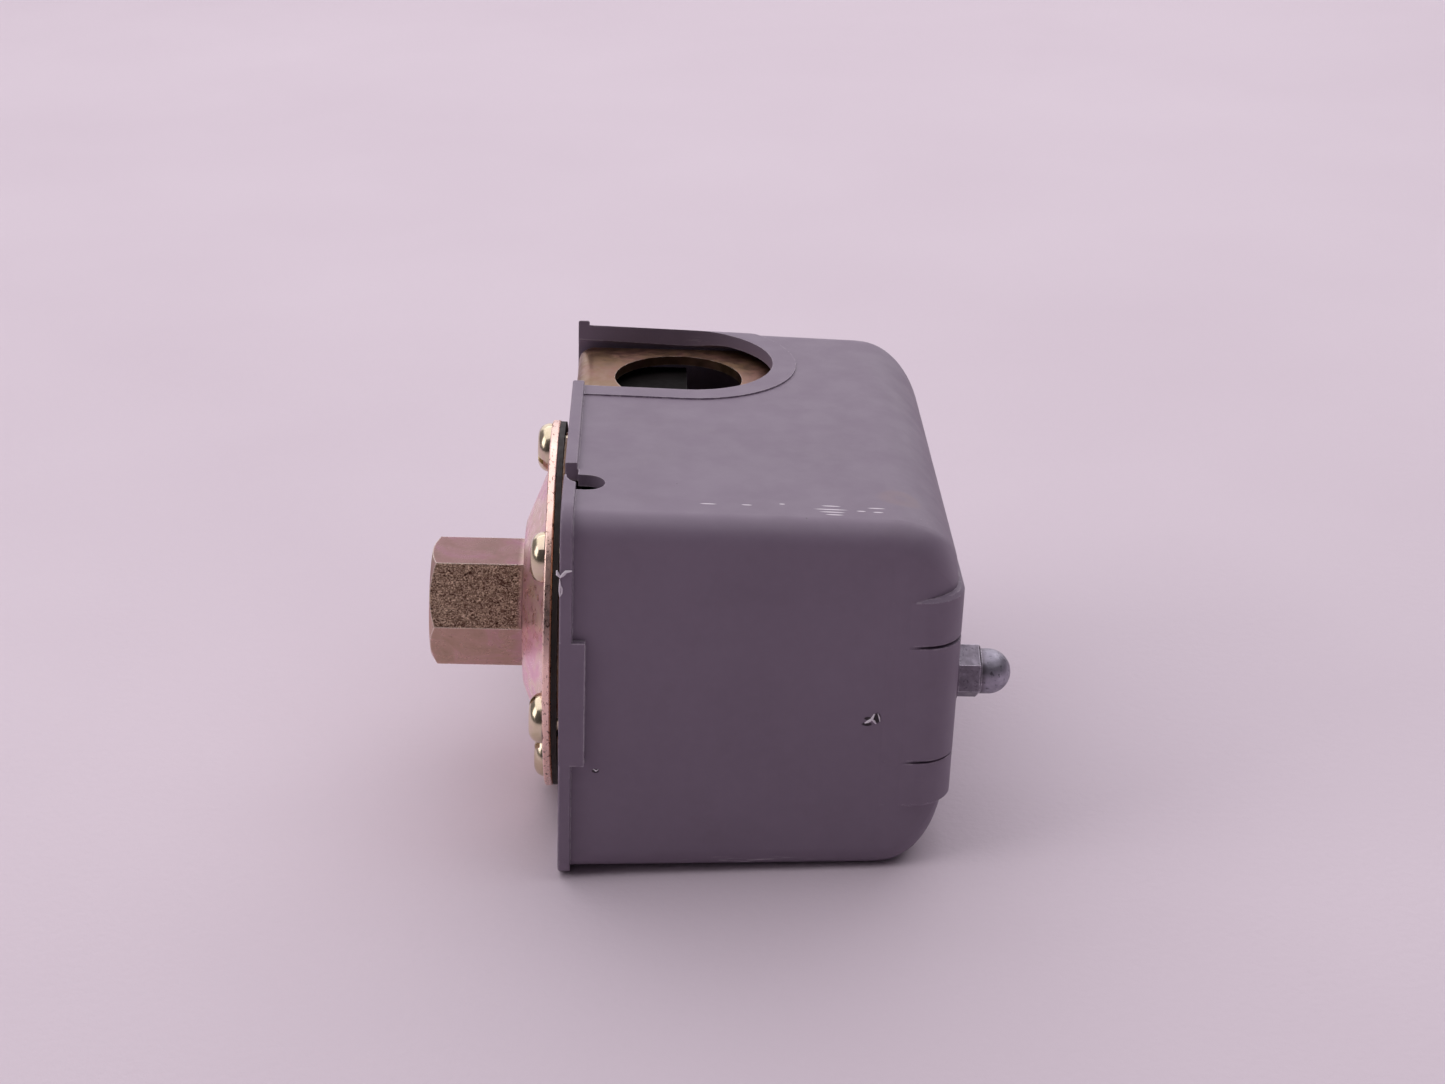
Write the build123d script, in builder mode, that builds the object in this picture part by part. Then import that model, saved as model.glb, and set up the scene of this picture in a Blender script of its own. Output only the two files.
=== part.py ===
from build123d import *
import math
import os

# Water-pump pressure switch.
# +X runs along the switch from the mouth of the port to the cap nut, +Z is up.
# The two conduit entries face +Z and -Z.  The origin is on the port's axis, at its mouth.
# The springs stand on the -Y half of the base and the terminals on the +Y half.

# ---- driving dimensions (mm, degrees) ----
HEX_FLATS = 20.64            # 13/16 inch across the flats
HEX_CORNER_R = 12.3          # the hexagon's corners are turned off to this radius
PORT_BORE_R = 6.6            # minor radius of the 1/4 inch pipe thread
PORT_THREAD_DEPTH = 13.0
PASSAGE_R = 1.6
DOME_FOOT_R = 26.5
DOME_TOP_R = 15.3
DOME_TOP_X = 17.2
SHELL_T = 1.6
FLANGE_FACE_X = 21.7
FLANGE_BACK_X = 23.25
FLANGE_R = 34.1
CHAMBER_R = 21.5

BOLT_CIRCLE_R = 29.5
FIRST_BOLT_ANGLE = 79.0      # from +Y towards +Z
BOLT_SHANK_R = 2.3
SCREW_HEAD_R = 4.5
BOLT_HOLE_R = 2.5

SCREW_HEAD_H = 2.5

DIAPHRAGM_T = 1.0
SPACER_T = 0.8
PLATE_X = FLANGE_BACK_X + DIAPHRAGM_T + SPACER_T
PLATE_T = 1.8
PLATE_TOP = PLATE_X + PLATE_T

RIM_X = 24.9                 # plane of the cover's open rim
COVER_LENGTH = 69.2
COVER_DEPTH = 104.8          # over the lip, along Y
COVER_HEIGHT = 71.2          # over the lip, along Z
COVER_Y = 11.0               # the cover's middle is not on the port's axis
LIP_LENGTH = 2.2
LIP_PROUD = 1.15
WALL = 2.2
DRAFT = 1.2
CORNER_R = 4.6
CORNER_GROWTH = 0.15         # of the long corners' radius, for each mm of the end's rounding
END_EDGE_R = 13.0            # between the closed end and the two conduit faces
END_SIDE_R = 10.0            # between the closed end and the two side faces
END_STEPS = 9                # sections in the closed end's rounding
STRAP_PROUD = 0.55           # strap across the middle of the closed end
STRAP_EDGE_R = 6.5
STRAP_HALF = 10.95
BAND_PROUD = 0.65            # one band on each side of the strap, from BAND_IN to BAND_OUT
BAND_EDGE_R = 7.4
BAND_IN = 11.5               # a narrow groove is left between the strap and each band
BAND_OUT = 20.3
BAND_SLOPE = 0.6

CONDUIT_R = 12.55
CONDUIT_X = 45.2
CONDUIT_Y = 41.1
SLOT_R = 17.5
SLOT_END_X = RIM_X + 38.8
BORDER = 4.6
BORDER_PROUD = 0.3
PAD_HALF = 11.9              # half width of the pad on the lip
PAD_LENGTH = 4.45
PAD_DEPTH = 3.0
NOTCH_Y = -23.6
NOTCH_R = 3.35
KEY_Y = -20.5
KEY_WIDTH = 5.4
EAR_Z = 30.15                # outer face of each ear
EAR_NEAR_Y = 18.0
EAR_FAR_Y = 57.9
EAR_TOP_X = 66.5
EAR_CORNER_R = 7.0
BEND_R = 1.5
PLATE_NEAR_Y = -37.4
PLATE_WIDTH = 63.6

STUD_Y = -24.8               # range stud, which also carries the cap nut
STUD_R = 3.0
STUD_TOP_R = 2.3
STUD_STEP_X = 88.0
DIFF_Y = -11.3               # differential stud
DIFF_STUD_R = 1.9
CAP_FLATS = 8.6
CAP_HEX_LENGTH = 4.1
CAP_DOME_R = 4.05
BOSS_R = 5.2
BOSS_X = RIM_X + 70.45       # flat seat under the cap nut
CAP_X = BOSS_X + 0.03

PLUNGER_R = 8.0
RUNNING = 0.05               # radial clearance of parts that turn or slide
LEVER_X = 35.6               # underside of the lever's web
LEVER_T = 2.0
LEVER_TOP = LEVER_X + LEVER_T
LEVER_Z = 13.0
PIVOT_X = 40.5
PIVOT_Y = 15.0
PIN_R = 1.6
SPRING_TOP_X = 62.0
RANGE_SEAT_R = 9.0
DIFF_SEAT_R = 3.7
DIFF_TOP_X = 53.0

BLOCK_X = PLATE_TOP + 0.25
BLOCK_TOP = 40.0
TERMINAL_Z = (-19.5, -6.6, 6.6, 19.5)
TERMINAL_Y = 48.0
CONTACT_Y = 31.0
BRIDGE_Z = 13.05             # middle of each moving bridge
BRIDGE_X = 43.3
BAR_X = 46.8
BLOCK_SCREWS = ((24.8, 23.6), (24.8, -23.6))
GROUND_SCREWS = ((-10.0, 23.5), (-14.0, -22.5))
GAP = 0.03                   # clearance between faces that only touch

os.makedirs("parts", exist_ok=True)


def save(part, name):
    part.label = name
    export_step(part, f"parts/{name}.step")


def station(x):
    """Plane across the axis at x: its local x is Y and its local y is Z."""
    return Plane.YZ.offset(x)


def disc(x, length, radius, y=0.0, z=0.0, mode=Mode.ADD):
    """Cylinder along +X that starts at x."""
    with BuildSketch(station(x)) as outline:
        with Locations((y, z)):
            Circle(radius)
    extrude(outline.sketch, amount=length, mode=mode)


def block(x, length, y0, y1, z0, z1, mode=Mode.ADD):
    """Box from x along +X, between y0 and y1 and between z0 and z1."""
    with BuildSketch(station(x)) as outline:
        with Locations(((y0 + y1) / 2, (z0 + z1) / 2)):
            Rectangle(y1 - y0, z1 - z0)
    extrude(outline.sketch, amount=length, mode=mode)


def hexagon(x, length, flats, y=0.0, z=0.0, turn=0.0):
    """Hexagonal bar along +X that starts at x."""
    with BuildSketch(station(x)) as outline:
        with Locations((y, z)):
            RegularPolygon(flats / 2, 6, major_radius=False, rotation=turn)
    extrude(outline.sketch, amount=length)


def coil(x, y, z, radius, wire, pitch, height):
    """Compression spring along +X whose wire's middle starts at x."""
    with BuildLine() as line:
        Helix(pitch, height, radius, center=(x, y, z), direction=(1, 0, 0))
    path = line.line
    with BuildSketch(Plane(origin=path @ 0, z_dir=path % 0)) as section:
        Circle(wire / 2)
    sweep(section.sketch, path=path)


def bolt_places():
    return PolarLocations(BOLT_CIRCLE_R, 6, start_angle=FIRST_BOLT_ANGLE)


def loss_at(x):
    """How far draft has drawn the cover's walls in at x."""
    return math.tan(math.radians(DRAFT)) * (x - RIM_X)


def side_y(sign, x):
    """Y of the cover's drafted outer wall at x, on the -Y or the +Y side."""
    half = COVER_DEPTH / 2 - LIP_PROUD - loss_at(x)
    return COVER_Y + sign * half


def drop_at(x, end_x, radius):
    """How far a rounding of this radius at the closed end has drawn a wall in at x."""
    along = max(0.0, x - (end_x - radius))
    return radius - math.sqrt(max(0.0, radius**2 - along**2))


def cover_ring(inset, x, end_x):
    """Section of the cover at x, drawn in by the draft, the inset and the end's rounding."""
    wall_loss = LIP_PROUD + inset + loss_at(x)
    side_drop = drop_at(x, end_x, END_SIDE_R - inset)
    edge_drop = drop_at(x, end_x, END_EDGE_R - inset)
    with BuildSketch(station(x)) as section:
        with Locations((COVER_Y, 0)):
            RectangleRounded(
                COVER_DEPTH - 2 * (wall_loss + side_drop),
                COVER_HEIGHT - 2 * (wall_loss + edge_drop),
                CORNER_R - inset / 2 + edge_drop * CORNER_GROWTH,
            )
    return section.sketch


def cover_form(inset, end_x):
    """Drafted form of the cover with a rounded closed end, inset from its outer surface."""
    edge_r = END_EDGE_R - inset
    bend_x = end_x - edge_r
    loft([cover_ring(inset, RIM_X, end_x), cover_ring(inset, bend_x, end_x)], ruled=True)
    rings = []
    for step in range(END_STEPS + 1):
        turn = math.pi / 2 * step / END_STEPS
        rings.append(cover_ring(inset, bend_x + edge_r * math.sin(turn), end_x))
    loft(rings)


def end_plate(proud, edge_r, reach):
    """Plate across the closed end that is flush with the side walls and has its own corners."""
    start = RIM_X + COVER_LENGTH / 2
    end = RIM_X + COVER_LENGTH + proud
    with BuildSketch(Plane.XY) as outline:
        with BuildLine():
            Polyline(
                (start, side_y(-1, start) + GAP),
                (end, side_y(-1, end) + GAP),
                (end, side_y(1, end) - GAP),
                (start, side_y(1, start) - GAP),
                close=True,
            )
        make_face()
        fillet(vertices().group_by(Axis.X)[-1], edge_r)
    extrude(outline.sketch, amount=reach, both=True)


def round_circles(radius, amount):
    """Fillet the circular edges that have this radius."""
    circles = edges().filter_by(GeomType.CIRCLE)
    fillet(circles.filter_by(lambda edge: abs(edge.radius - radius) < 0.1), amount)


# ---- cover ----
with BuildPart() as cavity:
    cover_form(WALL, RIM_X + COVER_LENGTH - WALL)

with BuildPart() as border_form:
    cover_form(-BORDER_PROUD, RIM_X + COVER_LENGTH)
    with BuildSketch(Plane.XY):
        with Locations((SLOT_END_X - SLOT_R, CONDUIT_Y)):
            Circle(SLOT_R + BORDER)
        with Locations((SLOT_END_X / 2 - SLOT_R / 2, CONDUIT_Y)):
            Rectangle(SLOT_END_X - SLOT_R, 2 * (SLOT_R + BORDER))
    extrude(amount=COVER_HEIGHT, both=True, mode=Mode.INTERSECT)

with BuildPart() as outer_form:
    cover_form(0, RIM_X + COVER_LENGTH)

with BuildPart() as strap:
    end_plate(STRAP_PROUD, STRAP_EDGE_R, STRAP_HALF)

with BuildPart() as bands:
    end_plate(BAND_PROUD, BAND_EDGE_R, BAND_OUT)
    chamfer(faces().filter_by(Plane.XY).edges(), BAND_SLOPE)
    with BuildSketch(Plane.XY):
        with Locations((RIM_X + COVER_LENGTH, COVER_Y)):
            Rectangle(2 * COVER_LENGTH, COVER_DEPTH)
    extrude(amount=BAND_IN, both=True, mode=Mode.SUBTRACT)

with BuildPart() as lip:
    # lip round the open rim, with a pad in the middle of each side wall
    with BuildSketch(station(RIM_X)):
        with Locations((COVER_Y, 0)):
            RectangleRounded(COVER_DEPTH, COVER_HEIGHT, CORNER_R + LIP_PROUD)
    extrude(amount=LIP_LENGTH)
    fillet(faces().group_by(Axis.X)[0].edges(), 0.35)
    fillet(faces().group_by(Axis.X)[-1].edges(), 0.3)
    near_y = COVER_Y - COVER_DEPTH / 2
    far_y = COVER_Y + COVER_DEPTH / 2
    block(RIM_X, PAD_LENGTH, near_y, near_y + PAD_DEPTH, -PAD_HALF, PAD_HALF)
    block(RIM_X, PAD_LENGTH, far_y - PAD_DEPTH, far_y, -PAD_HALF, PAD_HALF)

with BuildPart() as cover:
    add(outer_form.part)
    add(border_form.part)
    add(strap.part)
    add(bands.part)
    disc(BOSS_X - WALL, WALL, BOSS_R, STUD_Y)
    add(lip.part)
    add(cavity.part, mode=Mode.SUBTRACT)
    # conduit slots through both walls
    with BuildSketch(Plane.XY):
        with Locations((SLOT_END_X - SLOT_R, CONDUIT_Y)):
            Circle(SLOT_R)
        with Locations((SLOT_END_X / 2 - SLOT_R / 2, CONDUIT_Y)):
            Rectangle(SLOT_END_X - SLOT_R, 2 * SLOT_R)
    extrude(amount=COVER_HEIGHT, both=True, mode=Mode.SUBTRACT)
    # keyed notch near the corner: a gap in the lip, then a round-ended slot in the wall
    with BuildSketch(Plane.XY):
        with Locations((RIM_X + LIP_LENGTH / 2, KEY_Y)):
            Rectangle(LIP_LENGTH + 0.4, KEY_WIDTH)
        with Locations((RIM_X + LIP_LENGTH + 0.8, NOTCH_Y)):
            Rectangle(1.6, 2 * NOTCH_R)
        with Locations((RIM_X + LIP_LENGTH + 1.6, NOTCH_Y)):
            Circle(NOTCH_R)
    extrude(amount=COVER_HEIGHT, both=True, mode=Mode.SUBTRACT)
    disc(BOSS_X - 8, 9, STUD_TOP_R + 0.4, STUD_Y, mode=Mode.SUBTRACT)
save(cover.part, "cover")

with BuildPart() as cap_nut:
    hexagon(CAP_X, CAP_HEX_LENGTH, CAP_FLATS, STUD_Y, turn=23)
    chamfer(edges().filter_by(Plane.YZ).group_by(Axis.X)[-1], 0.35)
    disc(CAP_X + CAP_HEX_LENGTH, 1.6, CAP_DOME_R, STUD_Y)
    with Locations((CAP_X + CAP_HEX_LENGTH + 1.6, STUD_Y, 0)):
        Sphere(CAP_DOME_R)
    disc(CAP_X, 7.0, STUD_TOP_R + RUNNING, STUD_Y, mode=Mode.SUBTRACT)
save(cap_nut.part, "cap_nut")

# ---- pressure port, dome and flange ----
with BuildPart() as port_hexagon:
    hexagon(0, DOME_TOP_X, HEX_FLATS)
    # the mouth's corners are turned off
    with BuildSketch(Plane.XY):
        with BuildLine():
            Polyline(
                (0, 0),
                (0, HEX_FLATS / 2 - 0.1),
                (1.3, HEX_CORNER_R),
                (DOME_TOP_X, HEX_CORNER_R),
                (DOME_TOP_X, 0),
                close=True,
            )
        make_face()
    revolve(axis=Axis.X, mode=Mode.INTERSECT)

with BuildPart() as pressure_port:
    with BuildSketch(Plane.XY):
        with BuildLine():
            Polyline(
                (DOME_TOP_X, 0),
                (DOME_TOP_X, DOME_TOP_R),
                (FLANGE_FACE_X, DOME_FOOT_R),
                (FLANGE_FACE_X, FLANGE_R),
                (FLANGE_BACK_X, FLANGE_R),
                (FLANGE_BACK_X, CHAMBER_R + 2),
                (DOME_TOP_X + SHELL_T, DOME_TOP_R - 1),
                (DOME_TOP_X + SHELL_T, 0),
                close=True,
            )
        make_face()
    revolve(axis=Axis.X)
    round_circles(DOME_FOOT_R, 2.5)
    round_circles(DOME_TOP_R, 2.5)
    round_circles(FLANGE_R, 0.4)
    add(port_hexagon.part)
    disc(0, PORT_THREAD_DEPTH, PORT_BORE_R, mode=Mode.SUBTRACT)
    chamfer(edges().filter_by(GeomType.CIRCLE).group_by(Axis.X)[0].sort_by(SortBy.RADIUS)[0], 0.5)
    disc(0, FLANGE_FACE_X, PASSAGE_R, mode=Mode.SUBTRACT)
    with BuildSketch(station(FLANGE_FACE_X - 1)):
        with bolt_places():
            Circle(BOLT_HOLE_R)
    extrude(amount=4, mode=Mode.SUBTRACT)
    # flat seats for the screw heads where they reach the dome's foot
    with BuildSketch(station(FLANGE_FACE_X)):
        with bolt_places():
            Circle(SCREW_HEAD_R + 0.4)
    extrude(amount=-4, mode=Mode.SUBTRACT)
save(pressure_port.part, "pressure_port")

with BuildPart() as flange_screws:
    with BuildSketch(station(FLANGE_FACE_X - SCREW_HEAD_H)):
        with bolt_places():
            Circle(SCREW_HEAD_R)
    extrude(amount=SCREW_HEAD_H - GAP)
    fillet(faces().filter_by(Plane.YZ).group_by(Axis.X)[0].edges(), SCREW_HEAD_H - 0.3)
    with BuildSketch(station(FLANGE_FACE_X - 0.1)):
        with bolt_places():
            Circle(BOLT_SHANK_R)
    extrude(amount=PLATE_TOP - FLANGE_FACE_X)
    for number in range(6):
        angle = math.radians(FIRST_BOLT_ANGLE + 60 * number)
        with BuildSketch(station(FLANGE_FACE_X - 3)):
            with Locations((BOLT_CIRCLE_R * math.cos(angle), BOLT_CIRCLE_R * math.sin(angle))):
                Rectangle(10, 1.1, rotation=37 * number + 20)
        extrude(amount=1.6, mode=Mode.SUBTRACT)
save(flange_screws.part, "flange_screws")

with BuildPart() as diaphragm:
    disc(FLANGE_BACK_X + GAP, DIAPHRAGM_T - 2 * GAP, FLANGE_R - 0.2)
    with BuildSketch(station(FLANGE_BACK_X)):
        with bolt_places():
            Circle(BOLT_HOLE_R)
    extrude(amount=2, mode=Mode.SUBTRACT)
save(diaphragm.part, "diaphragm")

with BuildPart() as spacer_ring:
    disc(FLANGE_BACK_X + DIAPHRAGM_T, SPACER_T - GAP, 31.9)
    disc(FLANGE_BACK_X, 4, 22.5, mode=Mode.SUBTRACT)
    with BuildSketch(station(FLANGE_BACK_X)):
        with bolt_places():
            Circle(BOLT_HOLE_R)
            with Locations((3, 0)):
                Rectangle(6, 2 * BOLT_HOLE_R)
    extrude(amount=4, mode=Mode.SUBTRACT)
save(spacer_ring.part, "spacer_ring")

# ---- base and ears ----
with BuildPart() as base_bracket:
    with BuildSketch(Plane(origin=(0, EAR_NEAR_Y, 0), x_dir=(1, 0, 0), z_dir=(0, 1, 0))):
        with BuildLine():
            outer = EAR_Z
            inner = EAR_Z - PLATE_T
            Polyline(
                (EAR_TOP_X, outer),
                (PLATE_X, outer),
                (PLATE_X, -outer),
                (EAR_TOP_X, -outer),
                (EAR_TOP_X, -inner),
                (PLATE_TOP, -inner),
                (PLATE_TOP, inner),
                (EAR_TOP_X, inner),
                close=True,
            )
        make_face()
        fillet(vertices().filter_by(lambda v: abs(v.X - PLATE_X) < 0.1), BEND_R + PLATE_T)
        fillet(vertices().filter_by(lambda v: abs(v.X - PLATE_TOP) < 0.1), BEND_R)
    extrude(amount=EAR_FAR_Y - EAR_NEAR_Y)
    fillet(edges().filter_by(Axis.Z).group_by(Axis.X)[-1], EAR_CORNER_R)
    # plate under the lever and springs, joined to the bent part between relief cuts
    with BuildSketch(station(PLATE_X)):
        with Locations(((EAR_NEAR_Y - 0.8 + PLATE_NEAR_Y) / 2, 0)):
            RectangleRounded(EAR_NEAR_Y - 0.8 - PLATE_NEAR_Y, PLATE_WIDTH, CORNER_R)
        with Locations((EAR_NEAR_Y - 2, 0)):
            Rectangle(6, 50)
    extrude(amount=PLATE_T)
    with BuildSketch(Plane.XY):
        with Locations((CONDUIT_X, CONDUIT_Y)):
            Circle(CONDUIT_R)
    extrude(amount=COVER_HEIGHT, both=True, mode=Mode.SUBTRACT)
    with BuildSketch(station(PLATE_X - 1)):
        Circle(PLUNGER_R + RUNNING)
        with bolt_places():
            Circle(BOLT_SHANK_R + RUNNING)
        with Locations((STUD_Y, 0)):
            Circle(STUD_R + GAP)
        with Locations((DIFF_Y, 0)):
            Circle(DIFF_STUD_R + GAP)
        with Locations(*GROUND_SCREWS):
            Circle(2.0 + GAP)
        with Locations(*BLOCK_SCREWS):
            Circle(1.6 + GAP)
    extrude(amount=4, mode=Mode.SUBTRACT)
save(base_bracket.part, "base_bracket")

with BuildPart() as ground_screws:
    for y, z in GROUND_SCREWS:
        disc(PLATE_X + 0.1, 5, 2.0, y, z)
        hexagon(PLATE_TOP + 1.0, 3.6, 7.9, y, z, turn=15)
        disc(PLATE_TOP + 1.0, 0.9, 4.8, y, z)
        block(PLATE_TOP + 3.6, 2, y - 5, y + 5, z - 0.6, z + 0.6, mode=Mode.SUBTRACT)
save(ground_screws.part, "ground_screws")

with BuildPart() as ground_washers:
    for y, z in GROUND_SCREWS:
        disc(PLATE_TOP + GAP, 0.9, 5.2, y, z)
        disc(PLATE_TOP, 1, 2.1, y, z, mode=Mode.SUBTRACT)
save(ground_washers.part, "ground_washers")

# ---- plunger and lever ----
with BuildPart() as plunger:
    disc(FLANGE_BACK_X + DIAPHRAGM_T + GAP, PLATE_TOP - FLANGE_BACK_X - DIAPHRAGM_T, PLUNGER_R)
    disc(PLATE_TOP, 7, 5.5)
    fillet(edges().filter_by(GeomType.CIRCLE).group_by(Axis.X)[-1], 1.5)
    disc(PLATE_TOP + 5, LEVER_X - GAP - PLATE_TOP - 5, 2.6)
    fillet(edges().filter_by(GeomType.CIRCLE).group_by(Axis.X)[-1], 1.6)
save(plunger.part, "plunger")

with BuildPart() as operating_lever:
    lever_near = -34.6
    lever_far = 22.0
    block(LEVER_X, LEVER_T, lever_near, lever_far, -LEVER_Z, LEVER_Z)
    fillet(edges().filter_by(Axis.X), 4)
    for low in (-LEVER_Z, LEVER_Z - 1.6):
        block(LEVER_TOP - 0.5, 7.0, 6.0, 18.0, low, low + 1.6)
        block(LEVER_TOP - 0.5, 3.0, -30.0, 8.0, low, low + 1.6)
    disc(LEVER_X - 1, 4, 4.3, STUD_Y, mode=Mode.SUBTRACT)
    disc(LEVER_X - 1, 4, 2.8, DIFF_Y, mode=Mode.SUBTRACT)
    with BuildSketch(Plane.XY):
        with Locations((PIVOT_X, PIVOT_Y)):
            Circle(PIN_R + RUNNING)
    extrude(amount=20, both=True, mode=Mode.SUBTRACT)
save(operating_lever.part, "operating_lever")

with BuildPart() as lever_bracket:
    post_in = LEVER_Z + 0.35
    post_out = post_in + 1.5
    foot_x = PLATE_TOP + GAP
    block(foot_x, 1.5, 11.6, 19.2, -post_out, post_out)
    for low in (-post_out, post_in):
        block(foot_x, PIVOT_X + 3.6 - foot_x, 11.6, 18.4, low, low + 1.5)
    with BuildSketch(Plane.XY):
        with Locations((PIVOT_X, PIVOT_Y)):
            Circle(PIN_R + GAP)
    extrude(amount=20, both=True, mode=Mode.SUBTRACT)
save(lever_bracket.part, "lever_bracket")

with BuildPart() as pivot_pin:
    with BuildSketch(Plane.XY):
        with Locations((PIVOT_X, PIVOT_Y)):
            Circle(PIN_R)
    extrude(amount=post_out + 1.6, both=True)
save(pivot_pin.part, "pivot_pin")

with BuildPart() as pin_clips:
    for sign in (-1, 1):
        with BuildSketch(Plane.XY.offset(sign * (post_out + 0.5))):
            with Locations((PIVOT_X, PIVOT_Y)):
                Circle(PIN_R + 1.5)
                Circle(PIN_R + GAP, mode=Mode.SUBTRACT)
        extrude(amount=0.35, both=True)
save(pin_clips.part, "pin_clips")

# ---- range spring and differential spring ----
with BuildPart() as range_stud:
    disc(PLATE_X + GAP, STUD_STEP_X - PLATE_X, STUD_R, STUD_Y)
    disc(STUD_STEP_X, CAP_X + 6.4 - STUD_STEP_X, STUD_TOP_R, STUD_Y)
    chamfer(edges().filter_by(GeomType.CIRCLE).group_by(Axis.X)[-1], 0.5)
save(range_stud.part, "range_stud")

with BuildPart() as stud_nut:
    hexagon(PLATE_TOP + GAP, 4.2, 10.0, STUD_Y, turn=10)
    disc(PLATE_TOP - 1, 8, STUD_R + GAP, STUD_Y, mode=Mode.SUBTRACT)
save(stud_nut.part, "stud_nut")

with BuildPart() as differential_stud:
    disc(PLATE_X + GAP, 35, DIFF_STUD_R, DIFF_Y)
    chamfer(edges().filter_by(GeomType.CIRCLE).group_by(Axis.X)[-1], 0.4)
save(differential_stud.part, "differential_stud")

with BuildPart() as spring_seats:
    disc(LEVER_TOP + GAP, 1.2, RANGE_SEAT_R, STUD_Y)
    disc(LEVER_TOP + 1, 1.6, 6.0, STUD_Y)
    disc(LEVER_TOP, 4, 4.3, STUD_Y, mode=Mode.SUBTRACT)
    disc(LEVER_TOP + GAP, 1.0, DIFF_SEAT_R, DIFF_Y)
    disc(LEVER_TOP, 4, 2.8, DIFF_Y, mode=Mode.SUBTRACT)
save(spring_seats.part, "spring_seats")

with BuildPart() as range_spring:
    wire = 2.5
    foot = LEVER_TOP + 1.23 + wire / 2 + 0.1
    coil(foot, STUD_Y, 0, 7.9, wire, 4.1, SPRING_TOP_X - wire / 2 - 0.1 - foot)
save(range_spring.part, "range_spring")

with BuildPart() as range_washer:
    disc(SPRING_TOP_X + GAP, 1.4, RANGE_SEAT_R, STUD_Y)
    disc(SPRING_TOP_X, 3, STUD_R + 0.1, STUD_Y, mode=Mode.SUBTRACT)
save(range_washer.part, "range_washer")

with BuildPart() as range_nut:
    hexagon(SPRING_TOP_X + 1.46, 5.6, 11.1, STUD_Y, turn=20)
    disc(SPRING_TOP_X, 9, STUD_R + RUNNING, STUD_Y, mode=Mode.SUBTRACT)
save(range_nut.part, "range_nut")

with BuildPart() as differential_spring:
    wire = 1.1
    foot = LEVER_TOP + 1.03 + wire / 2 + 0.1
    coil(foot, DIFF_Y, 0, 3.1, wire, 2.4, DIFF_TOP_X - wire / 2 - 0.1 - foot)
save(differential_spring.part, "differential_spring")

with BuildPart() as differential_washer:
    disc(DIFF_TOP_X + GAP, 0.8, DIFF_SEAT_R, DIFF_Y)
    disc(DIFF_TOP_X, 3, DIFF_STUD_R + 0.1, DIFF_Y, mode=Mode.SUBTRACT)
save(differential_washer.part, "differential_washer")

with BuildPart() as differential_nut:
    hexagon(DIFF_TOP_X + 0.86, 3.2, 6.8, DIFF_Y, turn=0)
    disc(DIFF_TOP_X, 6, DIFF_STUD_R + RUNNING, DIFF_Y, mode=Mode.SUBTRACT)
save(differential_nut.part, "differential_nut")

# ---- terminals and contacts ----
with BuildPart() as insulating_sheet:
    block(PLATE_TOP + GAP, 0.2, 21.4, EAR_FAR_Y - 0.3, -27, 27)
    with BuildSketch(station(PLATE_TOP)):
        with Locations(*BLOCK_SCREWS):
            Circle(1.8)
    extrude(amount=1, mode=Mode.SUBTRACT)
save(insulating_sheet.part, "insulating_sheet")

with BuildPart() as terminal_block:
    block(BLOCK_X, BLOCK_TOP - BLOCK_X, 22.4, 57.4, -26.6, 26.6)
    fillet(edges().filter_by(Axis.X), 1.2)
    for z in (-25.8, -BRIDGE_Z, 0, BRIDGE_Z, 25.8):
        block(BLOCK_TOP - 1, 8, 38.6, 57.0, z - 0.8, z + 0.8)
    with BuildSketch(station(BLOCK_TOP)):
        for z in TERMINAL_Z:
            with Locations((TERMINAL_Y, z)):
                Circle(2.1)
    extrude(amount=-10, mode=Mode.SUBTRACT)
    with BuildSketch(station(BLOCK_TOP)):
        with Locations(*BLOCK_SCREWS):
            Circle(1.8)
    extrude(amount=-20, mode=Mode.SUBTRACT)
save(terminal_block.part, "terminal_block")

with BuildPart() as block_screws:
    for y, z in BLOCK_SCREWS:
        disc(PLATE_X + 0.1, BLOCK_TOP - PLATE_X, 1.6, y, z)
        disc(BLOCK_TOP + GAP, 1.7, 2.4, y, z)
        block(BLOCK_TOP + 1.0, 2, y - 3, y + 3, z - 0.4, z + 0.4, mode=Mode.SUBTRACT)
save(block_screws.part, "block_screws")

with BuildPart() as terminal_plates:
    for z in TERMINAL_Z:
        block(BLOCK_TOP + GAP, 1.0, 27.4, 56.4, z - 4.5, z + 4.5)
        disc(BLOCK_TOP, 2, 2.1, TERMINAL_Y, z, mode=Mode.SUBTRACT)
save(terminal_plates.part, "terminal_plates")

with BuildPart() as wire_clamps:
    for z in TERMINAL_Z:
        block(BLOCK_TOP + 1.06, 1.0, TERMINAL_Y - 4, TERMINAL_Y + 4, z - 4, z + 4)
        disc(BLOCK_TOP, 3, 2.1, TERMINAL_Y, z, mode=Mode.SUBTRACT)
save(wire_clamps.part, "wire_clamps")

with BuildPart() as terminal_screws:
    for z in TERMINAL_Z:
        disc(BLOCK_TOP - 9, 12, 2.0, TERMINAL_Y, z)
        disc(BLOCK_TOP + 2.09, 2.3, 3.8, TERMINAL_Y, z)
    fillet(edges().filter_by(GeomType.CIRCLE).group_by(Axis.X)[-1], 0.8)
    for number, z in enumerate(TERMINAL_Z):
        with BuildSketch(station(BLOCK_TOP + 3.3)):
            with Locations((TERMINAL_Y, z)):
                Rectangle(9, 1.0, rotation=25 + 50 * number)
        extrude(amount=2, mode=Mode.SUBTRACT)
save(terminal_screws.part, "terminal_screws")

with BuildPart() as fixed_contacts:
    for z in TERMINAL_Z:
        disc(BLOCK_TOP + 1.06, 1.14, 2.3, CONTACT_Y, z)
save(fixed_contacts.part, "fixed_contacts")

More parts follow.
